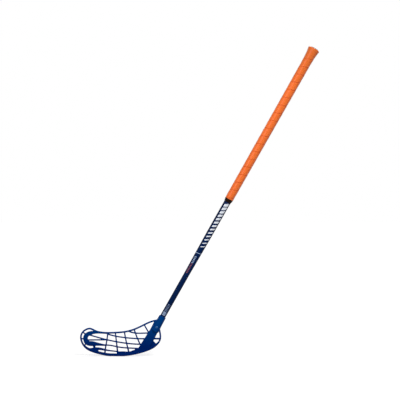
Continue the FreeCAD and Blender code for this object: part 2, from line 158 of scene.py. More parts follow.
def grow(tree, values, shape=None):    # runs a tree on a shape, or on nothing, and keeps the plain mesh
    host = bpy.data.objects.new("host", shape or bpy.data.meshes.new("host"))
    scene.collection.objects.link(host)
    modifier = host.modifiers.new("grow", "NODES")
    modifier.node_group = tree
    for item in tree.interface.items_tree:
        if item.in_out == "INPUT" and item.name in values:
            modifier[item.identifier] = values[item.name]
    evaluated = host.evaluated_get(bpy.context.evaluated_depsgraph_get())
    mesh = bpy.data.meshes.new_from_object(evaluated)
    bpy.data.objects.remove(host)
    return mesh


def wrapRound(tree, radius, angle, along):    # place on the upright tube
    sideways = addNode(tree, "ShaderNodeMath", {0: angle}, operation="COSINE")
    backwards = addNode(tree, "ShaderNodeMath", {0: angle}, operation="SINE")
    return addNode(tree, "ShaderNodeCombineXYZ", {
        0: addNode(tree, "ShaderNodeMath", {0: radius, 1: sideways}, operation="MULTIPLY"),
        1: addNode(tree, "ShaderNodeMath", {0: radius, 1: backwards}, operation="MULTIPLY"),
        2: along})


def lathe(name, profile, segments, closed=True):    # profile of (radius, along), outer side first
    verts = []
    for step in range(segments):
        angle = 2 * math.pi * step / segments
        verts += [(r * math.cos(angle), r * math.sin(angle), along) for r, along in profile]
    count = len(profile)
    rungs = count if closed else count - 1
    faces = []
    for step in range(segments):
        this = step * count
        following = (step + 1) % segments * count
        for rung in range(rungs):
            above = (rung + 1) % count
            faces.append((this + rung, following + rung, following + above, this + above))
    mesh = bpy.data.meshes.new(name)
    mesh.from_pydata(verts, [], faces)
    lengths = [0.0]
    for first, last in zip(profile, profile[1:] + profile[:1]):
        lengths.append(lengths[-1] + math.dist(first, last))
    uvMap = mesh.uv_layers.new(name="UVMap")    # metres round and along
    around = 2 * math.pi * max(radius for radius, along in profile) / segments
    for face, polygon in enumerate(mesh.polygons):
        step, rung = divmod(face, rungs)
        corners = [(step, rung), (step + 1, rung), (step + 1, rung + 1), (step, rung + 1)]
        for loop, (turn, place) in zip(polygon.loop_indices, corners):
            uvMap.data[loop].uv = (turn * around, lengths[place])
    cleaned = bmesh.new()
    cleaned.from_mesh(mesh)
    bmesh.ops.remove_doubles(cleaned, verts=cleaned.verts, dist=mergeDistance)
    bmesh.ops.recalc_face_normals(cleaned, faces=cleaned.faces)
    cleaned.to_mesh(mesh)
    cleaned.free()
    return mesh


# Injection-moulded polyethylene: satin blue with painted shade that darkens it towards the sole,
# faint flow clouds, fine grain from the spark-eroded mould
bladePlastic = {
    "body": "00397a", "paintedShadeBlue": "002063", "fadeStart": 0.09, "fadeEnd": 0.03,    # heights above the floor
    "flowMm": 26, "flowShare": 0.4, "grainMm": 0.7, "roughness": (0.36, 0.5), "bump": 0.18, "bumpMm": 0.1,
    "shader": {"IOR": 1.51, "Specular IOR Level": 0.07, "Specular Tint": linear("4a93e0")},
}


def mouldedPolyethylene():
    material, tree = startMaterial("mouldedPolyethylene", bladePlastic)
    place = addNode(tree, "ShaderNodeTexCoord").outputs["Object"]
    flow = addNode(tree, "ShaderNodeTexNoise", {
        "Vector": place, "Scale": 1000 / bladePlastic["flowMm"], "Detail": 3.0})
    grain = addNode(tree, "ShaderNodeTexNoise", {
        "Vector": place, "Scale": 1000 / bladePlastic["grainMm"], "Detail": 2.0})
    height = addNode(tree, "ShaderNodeSeparateXYZ", {0: place}).outputs["Z"]
    share = bladePlastic["flowShare"] / 2
    # painted shade: the blue darkens lower down on the blade
    paintedShadeFade = addNode(tree, "ShaderNodeMapRange", {
        0: height, 1: bladePlastic["fadeStart"], 2: bladePlastic["fadeEnd"], 3: -share, 4: 1 - share})
    clouded = addNode(tree, "ShaderNodeMath", {
        0: flow, 1: bladePlastic["flowShare"], 2: paintedShadeFade}, operation="MULTIPLY_ADD")
    colour = addNode(tree, "ShaderNodeMix", {
        0: clouded, 6: linear(bladePlastic["body"]), 7: linear(bladePlastic["paintedShadeBlue"])}, data_type="RGBA")
    return endMaterial(material, bladePlastic, colour.outputs[2], grain, grain)


# Lacquered glass and carbon tube: navy paint over wound fibres that show as faint crossing lines
tubeLacquer = {
    "front": "041d49", "side": "03112f", "sideFromMm": 5.0, "sideToMm": 9.5,    # painted shade: navy darkens round the sides
    "strands": 24, "strandPitchMm": 2.3, "fibreShade": (0.86, 1.1), "speckMm": 0.8,
    "roughness": (0.24, 0.36), "bump": 0.05, "bumpMm": 0.1,
    "shader": {"IOR": 1.5, "Specular IOR Level": 0.1, "Specular Tint": linear("7fa4e4")},
}


def lacqueredComposite():
    material, tree = startMaterial("lacqueredComposite", tubeLacquer)
    place = addNode(tree, "ShaderNodeTexCoord").outputs["Object"]
    upright = addNode(tree, "ShaderNodeMapping", {
        "Vector": place, "Location": tubeFoot, "Rotation": (0, lean, 0)}, vector_type="TEXTURE")
    parts = addNode(tree, "ShaderNodeSeparateXYZ", {0: upright})
    # painted shade: the navy darkens towards the sides, away from the front
    paintedShadeShare = addNode(tree, "ShaderNodeMapRange", {
        0: addNode(tree, "ShaderNodeMath", {0: parts.outputs["X"]}, operation="ABSOLUTE"),
        1: tubeLacquer["sideFromMm"] / 1000, 2: tubeLacquer["sideToMm"] / 1000})
    angle = addNode(tree, "ShaderNodeMath", {
        0: parts.outputs["Y"], 1: parts.outputs["X"]}, operation="ARCTAN2")
    circling = addNode(tree, "ShaderNodeMath", {0: angle, 1: tubeLacquer["strands"]}, operation="MULTIPLY")
    climb = addNode(tree, "ShaderNodeMath", {
        0: parts.outputs["Z"], 1: 2000 * math.pi / tubeLacquer["strandPitchMm"]}, operation="MULTIPLY")
    rising = addNode(tree, "ShaderNodeMath", {
        0: addNode(tree, "ShaderNodeMath", {0: circling, 1: climb}, operation="ADD")}, operation="SINE")
    falling = addNode(tree, "ShaderNodeMath", {
        0: addNode(tree, "ShaderNodeMath", {0: circling, 1: climb}, operation="SUBTRACT")}, operation="SINE")
    fibres = addNode(tree, "ShaderNodeMath", {0: rising, 1: falling}, operation="MULTIPLY")
    specks = addNode(tree, "ShaderNodeTexNoise", {
        "Vector": upright, "Scale": 1000 / tubeLacquer["speckMm"], "Detail": 3.0})
    navy = addNode(tree, "ShaderNodeMix", {
        0: paintedShadeShare, 6: linear(tubeLacquer["front"]), 7: linear(tubeLacquer["side"])}, data_type="RGBA")
    darkest, lightest = tubeLacquer["fibreShade"]
    shade = addNode(tree, "ShaderNodeMapRange", {0: fibres, 1: -1.0, 2: 1.0, 3: darkest, 4: lightest})
    colour = addNode(tree, "ShaderNodeVectorMath", {0: navy.outputs[2], "Scale": shade}, operation="SCALE")
    return endMaterial(material, tubeLacquer, colour.outputs[0], specks, fibres)


# Screen-printed ink: thin, even, with tiny pinholes where the screen left gaps
inks = {
    "tones": {    # ink, and what shows in its pinholes
        "white": ("e6ebf2", "9fb0cc"), "red": ("7e3b45", "4c2a3c"),
        "pale": ("8ea3c0", "51658c"), "foil": ("8193b0", "5d7098"),
    },
    "pinholeMm": 0.9, "pinholeFrom": 0.55, "pinholeTo": 0.8, "roughness": (0.3, 0.42),
    "shader": {"IOR": 1.48, "Specular IOR Level": 0.3},
}


def printedInk(tone):
    material, tree = startMaterial(tone + "PrintedInk", inks)
    place = addNode(tree, "ShaderNodeTexCoord").outputs["Object"]
    screen = addNode(tree, "ShaderNodeTexNoise", {
        "Vector": place, "Scale": 1000 / inks["pinholeMm"], "Detail": 2.0})
    pinhole = addNode(tree, "ShaderNodeMapRange", {0: screen, 1: inks["pinholeFrom"], 2: inks["pinholeTo"]})
    ink, below = inks["tones"][tone]
    colour = addNode(tree, "ShaderNodeMix", {0: pinhole, 6: linear(ink), 7: linear(below)}, data_type="RGBA")
    return endMaterial(material, inks, colour.outputs[2], screen)


# Foamed polyurethane tape: soft orange, slightly tacky, leather grain and rows of small breathing holes
gripFoam = {
    "body": "ee6f26", "warm": "f87a34", "handlingMm": 45, "grainMm": 1.1,
    "paintedShadeOrange": "dc6c29", "shadeFrom": 0.83, "shadeTo": 0.935,    # painted shade: darker towards the top of the grip, heights above the floor
    "holeShade": "de5520", "holeMm": 0.55, "holePitchMm": 4.2, "holeBottom": 0.6,
    "seamShadeAndDirt": "cc4c14", "seamMm": 1.5, "roughness": (0.24, 0.4), "bump": 0.25, "bumpMm": 0.3,
    "shader": {"IOR": 1.5, "Specular IOR Level": 0.34, "Specular Tint": linear("ffb0c2")},
}


def cushionedPolyurethane():
    material, tree = startMaterial("cushionedPolyurethane", gripFoam)
    place = addNode(tree, "ShaderNodeTexCoord").outputs["Object"]
    flat = addNode(tree, "ShaderNodeUVMap", uv_map="UVMap")    # metres along and across the tape
    across = addNode(tree, "ShaderNodeMath", {
        0: addNode(tree, "ShaderNodeSeparateXYZ", {0: flat}).outputs["Y"]}, operation="ABSOLUTE")
    half = gripTape["width"] / 2
    # painted shade and dirt: darker along the tape's edges, in the seams between turns
    edge = addNode(tree, "ShaderNodeMapRange", {0: across, 1: half - gripFoam["seamMm"] / 1000, 2: half})
    turnedRows = addNode(tree, "ShaderNodeMapping", {"Vector": flat, "Rotation": (0, 0, math.pi / 4)})
    holes = addNode(tree, "ShaderNodeTexVoronoi", {
        "Vector": turnedRows, "Scale": 1000 / gripFoam["holePitchMm"], "Randomness": 0.0},
        voronoi_dimensions="2D")
    rim = gripFoam["holeMm"] / gripFoam["holePitchMm"]
    # painted shade: the breathing holes are darker inside
    inHole = addNode(tree, "ShaderNodeMapRange", {
        0: holes.outputs["Distance"], 1: rim, 2: gripFoam["holeBottom"] * rim})
    grain = addNode(tree, "ShaderNodeTexVoronoi", {
        "Vector": place, "Scale": 1000 / gripFoam["grainMm"]}, feature="DISTANCE_TO_EDGE")
    handling = addNode(tree, "ShaderNodeTexNoise", {
        "Vector": place, "Scale": 1000 / gripFoam["handlingMm"], "Detail": 4.0})
    skin = addNode(tree, "ShaderNodeMix", {
        0: handling, 6: linear(gripFoam["body"]), 7: linear(gripFoam["warm"])}, data_type="RGBA")
    height = addNode(tree, "ShaderNodeSeparateXYZ", {0: place}).outputs["Z"]
    # painted shade: the orange darkens towards the top end, where the flared butt gets less light
    topShadeShare = addNode(tree, "ShaderNodeMapRange", {0: height, 1: gripFoam["shadeFrom"], 2: gripFoam["shadeTo"]})
    paintedShadeOrange = addNode(tree, "ShaderNodeMix", {
        0: topShadeShare, 6: skin.outputs[2], 7: linear(gripFoam["paintedShadeOrange"])}, data_type="RGBA")
    pored = addNode(tree, "ShaderNodeMix", {
        0: inHole, 6: paintedShadeOrange.outputs[2], 7: linear(gripFoam["holeShade"])}, data_type="RGBA")
    colour = addNode(tree, "ShaderNodeMix", {
        0: edge, 6: pored.outputs[2], 7: linear(gripFoam["seamShadeAndDirt"])}, data_type="RGBA")
    relief = addNode(tree, "ShaderNodeMath", {0: grain, 1: inHole}, operation="SUBTRACT")
    return endMaterial(material, gripFoam, colour.outputs[2], handling, relief)


# Stretched vinyl tape: brownish black, with fine stretch lines that run round the tube
vinyl = {
    "body": "140d09", "stretched": "21160f", "lineMm": 0.9, "lineDraw": 0.12,
    "roughness": (0.26, 0.42), "bump": 0.2, "bumpMm": 0.1,
    "shader": {"IOR": 1.53, "Specular IOR Level": 0.13, "Specular Tint": linear("b98a66")},
}


def stretchedVinyl():
    material, tree = startMaterial("stretchedVinyl", vinyl)
    flat = addNode(tree, "ShaderNodeUVMap", uv_map="UVMap")
    drawn = addNode(tree, "ShaderNodeMapping", {"Vector": flat, "Scale": (vinyl["lineDraw"], 1, 1)})
    lines = addNode(tree, "ShaderNodeTexNoise", {
        "Vector": drawn, "Scale": 1000 / vinyl["lineMm"], "Detail": 3.0})
    colour = addNode(tree, "ShaderNodeMix", {
        0: lines, 6: linear(vinyl["body"]), 7: linear(vinyl["stretched"])}, data_type="RGBA")
    return endMaterial(material, vinyl, colour.outputs[2], lines, lines)


# Zinc-plated steel with a blue passivation: dull grey-blue metal, faintly mottled
zincPlate = {
    "bright": "3d618d", "dull": "2a4a74", "mottleMm": 1.5, "roughness": (0.4, 0.58),
    "shader": {"Metallic": 1.0},
}


def zincPlatedSteel():
    material, tree = startMaterial("zincPlatedSteel", zincPlate)
    place = addNode(tree, "ShaderNodeTexCoord").outputs["Object"]
    mottle = addNode(tree, "ShaderNodeTexNoise", {
        "Vector": place, "Scale": 1000 / zincPlate["mottleMm"], "Detail": 4.0})
    colour = addNode(tree, "ShaderNodeMix", {
        0: mottle, 6: linear(zincPlate["bright"]), 7: linear(zincPlate["dull"])}, data_type="RGBA")
    return endMaterial(material, zincPlate, colour.outputs[2], mottle)


# Plain moulded pieces that hardly show: black polypropylene, black rubber and set amber glue
mouldings = {
    "blackPolypropylene": {"body": "17181a", "shade": "0e0f11", "grainMm": 0.6, "roughness": (0.37, 0.53)},
    "collarRubber": {"body": "202022", "shade": "161618", "grainMm": 1.2, "roughness": (0.62, 0.78)},
    "setGlue": {"body": "6f5c3a", "shade": "57462a", "grainMm": 2.0, "roughness": (0.32, 0.48)},
}
mouldingSkin = {"bump": 0.2, "bumpMm": 0.1, "shader": {"IOR": 1.49, "Specular IOR Level": 0.3}}


def mouldedGrain(name):
    finish = dict(mouldingSkin, **mouldings[name])
    material, tree = startMaterial(name, finish)
    place = addNode(tree, "ShaderNodeTexCoord").outputs["Object"]
    grain = addNode(tree, "ShaderNodeTexNoise", {
        "Vector": place, "Scale": 1000 / finish["grainMm"], "Detail": 3.0})
    colour = addNode(tree, "ShaderNodeMix", {
        0: grain, 6: linear(finish["body"]), 7: linear(finish["shade"])}, data_type="RGBA")
    return endMaterial(material, finish, colour.outputs[2], grain, grain)


# Blade: the moulded lattice with the small edge rounds that a mould gives
bladeForm = {"voxel": 0.00078, "smoothing": 0.5, "smoothingSteps": 3, "swell": 0.00035}


def makeBlade():
    mesh = frame["nodes"]["blade"].data.copy()
    welded = bmesh.new()
    welded.from_mesh(mesh)
    bmesh.ops.remove_doubles(welded, verts=welded.verts, dist=mergeDistance)
    welded.to_mesh(mesh)
    welded.free()
    host = bpy.data.objects.new("host", mesh)
    scene.collection.objects.link(host)
    skin = host.modifiers.new("skin", "REMESH")
    skin.mode = "VOXEL"
    skin.voxel_size = bladeForm["voxel"]
    rounds = host.modifiers.new("rounds", "SMOOTH")
    rounds.factor = bladeForm["smoothing"]
    rounds.iterations = bladeForm["smoothingSteps"]
    swell = host.modifiers.new("swell", "DISPLACE")    # thin ribs keep their weight after the smoothing
    swell.mid_level = 0.0
    swell.strength = bladeForm["swell"]
    evaluated = host.evaluated_get(bpy.context.evaluated_depsgraph_get())
    moulded = bpy.data.meshes.new_from_object(evaluated)
    bpy.data.objects.remove(host)
    for vertex in moulded.vertices:    # the sole stays on the floor
        vertex.co.z = max(vertex.co.z, 0.0)
    addPiece("mouldedBlade", moulded, mouldedPolyethylene(), ["blade"])


# Screws: pan heads with a cross recess, one in the front of the socket and one in its back
bladeScrews = {
    "count": 2, "firstAlong": 0.0115, "lastAlong": 0.03, "seat": 0.0102,
    "headRadius": 0.0035, "headHeight": 0.0023, "edgeHeight": 0.0011, "domePower": 2.4, "rings": 26,
    "shankRadius": 0.00175, "length": 0.011, "point": 0.0035, "segments": 96,
    "recessHalfWidth": 0.00048, "recessHalfLength": 0.002, "recessDepth": 0.0012, "recessSlope": 0.00022,
}


def inRecess(lengthways, sideways):    # 0 on the head, 1 at the bottom of one arm of the cross
    nearEnd = (bladeScrews["recessHalfLength"] - abs(lengthways)) / bladeScrews["recessSlope"]
    nearSide = (bladeScrews["recessHalfWidth"] - abs(sideways)) / bladeScrews["recessSlope"]
    return max(0.0, min(1.0, nearEnd, 0.5 + nearSide))    # the side is half way down its slope


def seatedScrewsTree():
    tree, size = startTree("seatedScrews", ["First Along", "Last Along", "Seat"], ["Screws"])
    gaps = addNode(tree, "ShaderNodeMath", {0: size["Screws"], 1: 1.0}, operation="SUBTRACT")
    rise = addNode(tree, "ShaderNodeMath", {
        0: size["Last Along"], 1: size["First Along"]}, operation="SUBTRACT")
    through = addNode(tree, "ShaderNodeMath", {0: size["Seat"], 1: 2.0}, operation="MULTIPLY")
    front = addNode(tree, "ShaderNodeMath", {0: size["Seat"], 1: -1.0}, operation="MULTIPLY")
    seats = addNode(tree, "GeometryNodeMeshLine", {
        "Count": size["Screws"],
        "Start Location": addNode(tree, "ShaderNodeCombineXYZ", {1: front, 2: size["First Along"]}),
        "Offset": addNode(tree, "ShaderNodeCombineXYZ", {
            1: addNode(tree, "ShaderNodeMath", {0: through, 1: gaps}, operation="DIVIDE"),
            2: addNode(tree, "ShaderNodeMath", {0: rise, 1: gaps}, operation="DIVIDE")})})
    tilt = addNode(tree, "ShaderNodeMath", {    # heads face the front, then the back
        0: addNode(tree, "GeometryNodeInputIndex"), 1: -math.pi, 2: math.pi / 2}, operation="MULTIPLY_ADD")
    seated = addNode(tree, "GeometryNodeInstanceOnPoints", {
        "Points": seats, "Instance": size["Shape"],
        "Rotation": addNode(tree, "ShaderNodeCombineXYZ", {0: tilt})})
    endTree(tree, seated, size)
    return tree


def makeScrews():
    head, edge = bladeScrews["headRadius"], bladeScrews["edgeHeight"]
    shank, tip = bladeScrews["shankRadius"], -bladeScrews["length"]
    dome = bladeScrews["headHeight"] - edge
    profile = []
    for ring in range(bladeScrews["rings"] + 1):
        share = ring / bladeScrews["rings"]
        profile.append((head * share, edge + dome * (1 - share ** bladeScrews["domePower"])))
    profile += [(head, 0.0), (shank, 0.0), (shank, bladeScrews["point"] + tip), (0.0, tip)]
    shape = lathe("bladeScrew", profile, bladeScrews["segments"], closed=False)
    for vertex in shape.vertices:
        if vertex.co.z > edge:
            x, y = vertex.co.x, vertex.co.y
            vertex.co.z -= bladeScrews["recessDepth"] * max(inRecess(x, y), inRecess(y, x))
    zinc = zincPlatedSteel()
    mesh = grow(seatedScrewsTree(), {
        "First Along": bladeScrews["firstAlong"], "Last Along": bladeScrews["lastAlong"],
        "Seat": bladeScrews["seat"], "Screws": bladeScrews["count"], "Finish": zinc}, shape)
    mesh.transform(leanOver)
    addPiece("bladeScrews", mesh, zinc, ["front_blade_screw", "back_blade_screw"])


# Tube: one tapered wall, open at both ends, with every corner of the ends rounded
def makeTube():
    soft, wall, length = tube["endRound"], tube["wall"], tube["length"]
    between = tube["stations"][1:-1]
    foot, top = tube["stations"][0][1], tube["stations"][-1][1]
    profile = [(foot - soft, 0.0), (foot, soft)]
    profile += [(radius, along) for along, radius in between]
    profile += [(top, length - soft), (top - soft, length)]
    profile += [(top - wall + soft, length), (top - wall, length - soft)]
    profile += [(radius - wall, along) for along, radius in reversed(between)]
    profile += [(foot - wall, soft), (foot - wall + soft, 0.0)]
    mesh = lathe("paintedTube", profile, tube["segments"])
    mesh.transform(leanOver)
    addPiece("paintedTube", mesh, lacqueredComposite(), ["shaft"])


# Printed marks: plain slanted bars, dashes, a ring and a bare label, as thin films that follow the tube
printedMarks = {
    "film": 0.00005,    # half of its depth, the rest lies in the tube's skin
    "cutsAlong": 5,
    "ring": {"ink": "pale", "place": 0.2718, "width": 0.002, "slant": 0.17},
    "rows": [
        {"name": "whiteSpeedBars", "ink": "white", "Bars": 13, "Start": 0.297, "End": 0.443,
         "First Length": 0.003, "Last Length": 0.0092, "Width": 0.013, "Slant": 0.55, "Turn": 0.17,
         "Corner": 0.0005, "Columns": 27},
        {"name": "redDashes", "ink": "red", "Bars": 7, "Start": 0.204, "End": 0.234,
         "First Length": 0.0026, "Last Length": 0.0026, "Width": 0.0055, "Slant": 0.4, "Turn": -0.28,
         "Corner": 0.0004, "Columns": 15},
        {"name": "paleDashes", "ink": "pale", "Bars": 5, "Start": 0.239, "End": 0.259,
         "First Length": 0.003, "Last Length": 0.003, "Width": 0.006, "Slant": 0.4, "Turn": -0.28,
         "Corner": 0.0004, "Columns": 15},
        {"name": "bareLabel", "ink": "foil", "Bars": 1, "Start": 0.0595, "End": 0.0595,
         "First Length": 0.013, "Last Length": 0.013, "Width": 0.01, "Slant": 0.0, "Turn": -0.05,
         "Corner": 0.0015, "Columns": 41},
        {"name": "labelDashes", "ink": "foil", "Bars": 6, "Start": 0.0695, "End": 0.0905,
         "First Length": 0.0018, "Last Length": 0.0012, "Width": 0.0085, "Slant": 0.0, "Turn": -0.05,
         "Corner": 0.0004, "Columns": 21},
    ],
}


def printedBarsTree():
    tree, size = startTree("printedBars", [
        "Start", "End", "First Length", "Last Length", "Width", "Slant", "Turn", "Corner", "Film",
        "Taper Start", "Taper End", "Foot Radius", "Top Radius"], ["Bars", "Columns", "Cuts"])
    slab = addNode(tree, "GeometryNodeMeshCube", {"Vertices X": size["Columns"], "Vertices Y": size["Cuts"]})
    bar = addNode(tree, "GeometryNodeStoreNamedAttribute", {
        0: slab, "Name": "unit", "Value": addNode(tree, "GeometryNodeInputPosition")},
        data_type="FLOAT_VECTOR")
    places = addNode(tree, "GeometryNodeMeshLine", {"Count": size["Bars"]})
    row = addNode(tree, "GeometryNodeInstanceOnPoints", {"Points": places, "Instance": bar})
    gaps = addNode(tree, "ShaderNodeMath", {
        0: addNode(tree, "ShaderNodeMath", {0: size["Bars"], 1: 1.0}, operation="SUBTRACT"), 1: 1.0},
        operation="MAXIMUM")
    share = addNode(tree, "ShaderNodeMath", {
        0: addNode(tree, "GeometryNodeInputIndex"), 1: gaps}, operation="DIVIDE")
    counted = addNode(tree, "GeometryNodeStoreNamedAttribute", {
        0: row, "Name": "share", "Value": share}, data_type="FLOAT", domain="INSTANCE")
    bars = addNode(tree, "GeometryNodeRealizeInstances", {0: counted})
    unit = addNode(tree, "ShaderNodeSeparateXYZ", {
        0: addNode(tree, "GeometryNodeInputNamedAttribute", {"Name": "unit"}, data_type="FLOAT_VECTOR")})
    barShare = addNode(tree, "GeometryNodeInputNamedAttribute", {"Name": "share"}, data_type="FLOAT")
    place = addNode(tree, "ShaderNodeMapRange", {0: barShare, 3: size["Start"], 4: size["End"]})
    length = addNode(tree, "ShaderNodeMapRange", {
        0: barShare, 3: size["First Length"], 4: size["Last Length"]})
    around = addNode(tree, "ShaderNodeMath", {0: unit.outputs["X"], 1: size["Width"]}, operation="MULTIPLY")
    # rounded corners: the columns near the sides are shorter
    square = addNode(tree, "ShaderNodeMath", {
        0: addNode(tree, "ShaderNodeMath", {0: size["Width"], 1: 0.5}, operation="MULTIPLY"),
        1: size["Corner"]}, operation="SUBTRACT")
    past = addNode(tree, "ShaderNodeMath", {
        0: addNode(tree, "ShaderNodeMath", {
            0: addNode(tree, "ShaderNodeMath", {0: around}, operation="ABSOLUTE"), 1: square},
            operation="SUBTRACT"), 1: 0.0}, operation="MAXIMUM")
    reach = addNode(tree, "ShaderNodeMath", {
        0: addNode(tree, "ShaderNodeMath", {
            0: addNode(tree, "ShaderNodeMath", {0: size["Corner"], 1: 2.0}, operation="POWER"),
            1: addNode(tree, "ShaderNodeMath", {0: past, 1: 2.0}, operation="POWER")}, operation="SUBTRACT")},
        operation="SQRT")
    cut = addNode(tree, "ShaderNodeMath", {
        0: addNode(tree, "ShaderNodeMath", {0: size["Corner"], 1: reach}, operation="SUBTRACT"), 1: 2.0},
        operation="MULTIPLY")
    column = addNode(tree, "ShaderNodeMath", {0: length, 1: cut}, operation="SUBTRACT")
    slanted = addNode(tree, "ShaderNodeMath", {
        0: around, 1: size["Slant"], 2: place}, operation="MULTIPLY_ADD")
    along = addNode(tree, "ShaderNodeMath", {
        0: unit.outputs["Y"], 1: column, 2: slanted}, operation="MULTIPLY_ADD")
    # the film lies half in the tube's skin and half on it
    skin = addNode(tree, "ShaderNodeMapRange", {
        0: along, 1: size["Taper Start"], 2: size["Taper End"],
        3: size["Foot Radius"], 4: size["Top Radius"]})
    depth = addNode(tree, "ShaderNodeMath", {0: size["Film"], 1: 2.0}, operation="MULTIPLY")
    radius = addNode(tree, "ShaderNodeMath", {
        0: unit.outputs["Z"], 1: depth, 2: skin}, operation="MULTIPLY_ADD")
    turn = addNode(tree, "ShaderNodeMath", {0: size["Turn"], 1: frontAngle}, operation="ADD")
    angle = addNode(tree, "ShaderNodeMath", {
        0: addNode(tree, "ShaderNodeMath", {0: around, 1: skin}, operation="DIVIDE"), 1: turn},
        operation="ADD")
    printed = addNode(tree, "GeometryNodeSetPosition", {
        0: bars, "Position": wrapRound(tree, radius, angle, along)})
    endTree(tree, printed, size)
    return tree


def makePrints():
    tree = printedBarsTree()
    film = printedMarks["film"]
    ready = {tone: printedInk(tone) for tone in inks["tones"]}
    shared = dict(taperSizes(printStretch), Film=film, Cuts=printedMarks["cutsAlong"])
    for row in printedMarks["rows"]:
        mesh = grow(tree, dict(shared, Finish=ready[row["ink"]], **row))
        mesh.transform(leanOver)
        addPiece(row["name"], mesh, ready[row["ink"]])
    ring = printedMarks["ring"]
    start, end = ring["place"], ring["place"] + ring["width"]
    profile = [(tubeRadius(start) + film, start), (tubeRadius(end) + film, end),
               (tubeRadius(end) - film, end), (tubeRadius(start) - film, start)]
    mesh = lathe("paleRing", profile, tube["segments"])
    for vertex in mesh.vertices:    # slanted, and still on the taper
        shift = ring["slant"] * vertex.co.x
        wider = tubeRadius(vertex.co.z + shift) / tubeRadius(vertex.co.z)
        vertex.co = (vertex.co.x * wider, vertex.co.y * wider, vertex.co.z + shift)
    mesh.transform(leanOver)
    addPiece("paleRing", mesh, ready[ring["ink"]])


# Wound tapes: a flat strip, laid round the tube by rule
gripTape = {
    "start": 0.464, "end": 0.9735, "pitch": 0.02725, "width": 0.0272, "phase": 0.6, "thickness": 0.0026,
    "lap": 0.00035, "edgeDrop": 0.0005, "edgePower": 14.0, "stepsPerTurn": 60, "loopPoints": 49,
    "collarStart": 0.954, "bridge": 0.008, "lip": 0.0004, "flare": 0.0041,
    "firstTurnStart": 0.972, "softEdge": 0.0005, "softShare": 0.3, "rimRound": 0.004, "roundSteps": 8,
    "plugBore": 0.0105, "pleats": 13, "pleatDepth": 0.00018,
}
finishTape = {
    "start": 0.453, "end": 0.4642, "pitch": 0.0041, "width": 0.00406, "phase": 0.0, "thickness": 0.0003,
    "lap": 0.00016, "edgeDrop": 0.00008, "edgePower": 6.0, "stepsPerTurn": 96, "loopPoints": 17,
    "footRadius": 0.01045, "topRadius": 0.013, "lip": 0.0, "flare": 0.0,
}


